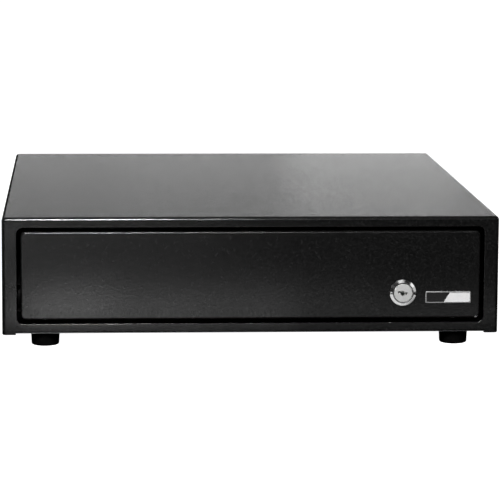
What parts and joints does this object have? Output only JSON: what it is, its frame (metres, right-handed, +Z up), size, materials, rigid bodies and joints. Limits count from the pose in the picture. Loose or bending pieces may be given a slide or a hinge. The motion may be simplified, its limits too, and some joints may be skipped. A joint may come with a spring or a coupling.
{
  "type": "cash drawer",
  "caption": "Low steel cash drawer: an inset locking front on roller slides, a till with note bays and coin cups, a solenoid latch and rubber feet.",
  "frame": {"origin": "on the floor under the middle of the whole object", "axes": "+X to the right seen from the front, +Y to the rear, +Z up; the lock and the drawer's face look along -Y"},
  "size_m": [0.35, 0.405, 0.092],
  "materials": {
    "powder_coat": "fine-textured black powder coat",
    "zinc": "zinc-coated sheet",
    "chrome": "polished",
    "steel": "bright zinc plate",
    "black_steel": "black oxide",
    "rubber": "matt moulded",
    "nylon": "moulded nylon",
    "till": "fine-grained moulded",
    "cups": "fine-grained moulded",
    "badge": "satin",
    "badge_field": "smooth",
    "copper": "enamelled wire under tape",
    "bobbin": "moulded",
    "black_plastic": "moulded",
    "brass": "gold-flashed",
    "wire": "PVC insulation",
    "spring": "spring wire"
  },
  "bodies": {
    "case": {"case_shell": "powder_coat", "base_pan": "zinc", "rear_panel": "powder_coat", "rubber_feet": "rubber", "foot_screws": "steel", "foot_nuts": "steel", "bottom_screws": "steel", "rear_screws": "steel", "case_rail_left": "powder_coat", "case_rail_right": "powder_coat", "case_rail_rivets": "black_steel", "case_roller_studs": "black_steel", "lock_keeper": "powder_coat", "mechanism_plate": "zinc", "plate_screws": "steel", "latch_pin": "steel", "latch_spring": "spring", "solenoid_frame": "zinc", "solenoid_bobbin": "bobbin", "solenoid_coil": "copper", "solenoid_core": "steel", "microswitch": "black_plastic", "ejector_posts": "steel", "ejector_buffers": "rubber", "ejector_springs": "spring", "cable_socket": "black_plastic", "socket_contacts": "brass", "wire_harness": "wire"},
    "drawer": {"drawer_front": "powder_coat", "drawer_tray": "powder_coat", "front_screws": "steel", "lock_cover": "powder_coat", "badge_plate": "badge", "badge_inlay": "badge_field", "lock_body": "chrome", "lock_nut": "steel", "drawer_rail_left": "powder_coat", "drawer_rail_right": "powder_coat", "drawer_roller_studs": "black_steel", "till_insert": "till", "note_dividers": "till", "coin_cups": "cups", "clip_shafts": "steel", "striker": "zinc", "striker_pin": "steel", "striker_rivets": "steel"},
    "lock_plug": {"lock_plug": "chrome", "lock_cam": "steel", "cam_screw": "steel"},
    "front_roller_left": {"front_roller_left": "nylon"},
    "front_roller_right": {"front_roller_right": "nylon"},
    "rear_roller_left": {"rear_roller_left": "nylon"},
    "rear_roller_right": {"rear_roller_right": "nylon"},
    "note_clip_1": {"note_clip_1": "spring"},
    "note_clip_2": {"note_clip_2": "spring"},
    "note_clip_3": {"note_clip_3": "spring"},
    "note_clip_4": {"note_clip_4": "spring"},
    "latch": {"latch_lever": "zinc"},
    "plunger": {"solenoid_plunger": "steel"},
    "switch_leaf": {"switch_lever": "spring"}
  },
  "joints": [
    {"name": "drawer_slide", "type": "slide", "parent": "case", "child": "drawer", "axis": [0, -1, 0], "range_m": [0, 0.26], "deforming": ["ejector_springs"]},
    {"name": "key_turn", "type": "hinge", "parent": "drawer", "child": "lock_plug", "pos_m": [0.107, -0.19, 0.038], "axis": [0, 1, 0], "range_deg": [0, 90]},
    {"name": "latch_pivot", "type": "hinge", "parent": "case", "child": "latch", "pos_m": [0, 0.187, 0.02125], "axis": [0, 0, 1], "range_deg": [-10, 0], "stiffness_Nm_per_rad": 0.04, "springref_deg": -22.92, "deforming": ["latch_spring"]},
    {"name": "plunger_slide", "type": "slide", "parent": "case", "child": "plunger", "axis": [1, 0, 0], "range_m": [-0.0034, 0]},
    {"name": "switch_leaf_pivot", "type": "hinge", "parent": "case", "child": "switch_leaf", "pos_m": [-0.0325, 0.1796, 0.0202], "axis": [0, 0, 1], "range_deg": [0, 10.7]},
    {"name": "front_roller_left_spin", "type": "hinge", "parent": "case", "child": "front_roller_left", "pos_m": [-0.16215, -0.178, 0.034], "axis": [1, 0, 0], "continuous": true},
    {"name": "rear_roller_left_spin", "type": "hinge", "parent": "drawer", "child": "rear_roller_left", "pos_m": [-0.1686, 0.127, 0.034], "axis": [1, 0, 0], "continuous": true},
    {"name": "front_roller_right_spin", "type": "hinge", "parent": "case", "child": "front_roller_right", "pos_m": [0.16215, -0.178, 0.034], "axis": [1, 0, 0], "continuous": true},
    {"name": "rear_roller_right_spin", "type": "hinge", "parent": "drawer", "child": "rear_roller_right", "pos_m": [0.1686, 0.127, 0.034], "axis": [1, 0, 0], "continuous": true},
    {"name": "note_clip_1_pivot", "type": "hinge", "parent": "drawer", "child": "note_clip_1", "pos_m": [-0.1155, 0.127, 0.063], "axis": [-1, 0, 0], "range_deg": [0, 32], "stiffness_Nm_per_rad": 0.1, "springref_deg": -28.65},
    {"name": "note_clip_2_pivot", "type": "hinge", "parent": "drawer", "child": "note_clip_2", "pos_m": [-0.0385, 0.127, 0.063], "axis": [-1, 0, 0], "range_deg": [0, 32], "stiffness_Nm_per_rad": 0.1, "springref_deg": -28.65},
    {"name": "note_clip_3_pivot", "type": "hinge", "parent": "drawer", "child": "note_clip_3", "pos_m": [0.0385, 0.127, 0.063], "axis": [-1, 0, 0], "range_deg": [0, 32], "stiffness_Nm_per_rad": 0.1, "springref_deg": -28.65},
    {"name": "note_clip_4_pivot", "type": "hinge", "parent": "drawer", "child": "note_clip_4", "pos_m": [0.1155, 0.127, 0.063], "axis": [-1, 0, 0], "range_deg": [0, 32], "stiffness_Nm_per_rad": 0.1, "springref_deg": -28.65}
  ],
  "couplings": [
    {"joint": "plunger_slide", "follows": "latch_pivot", "m_per_rad": 0.01914},
    {"joint": "switch_leaf_pivot", "follows": "latch_pivot", "ratio": -1.052},
    {"joint": "front_roller_left_spin", "follows": "drawer_slide", "rad_per_m": 112.36},
    {"joint": "rear_roller_left_spin", "follows": "drawer_slide", "rad_per_m": 112.36},
    {"joint": "front_roller_right_spin", "follows": "drawer_slide", "rad_per_m": 112.36},
    {"joint": "rear_roller_right_spin", "follows": "drawer_slide", "rad_per_m": 112.36}
  ]
}
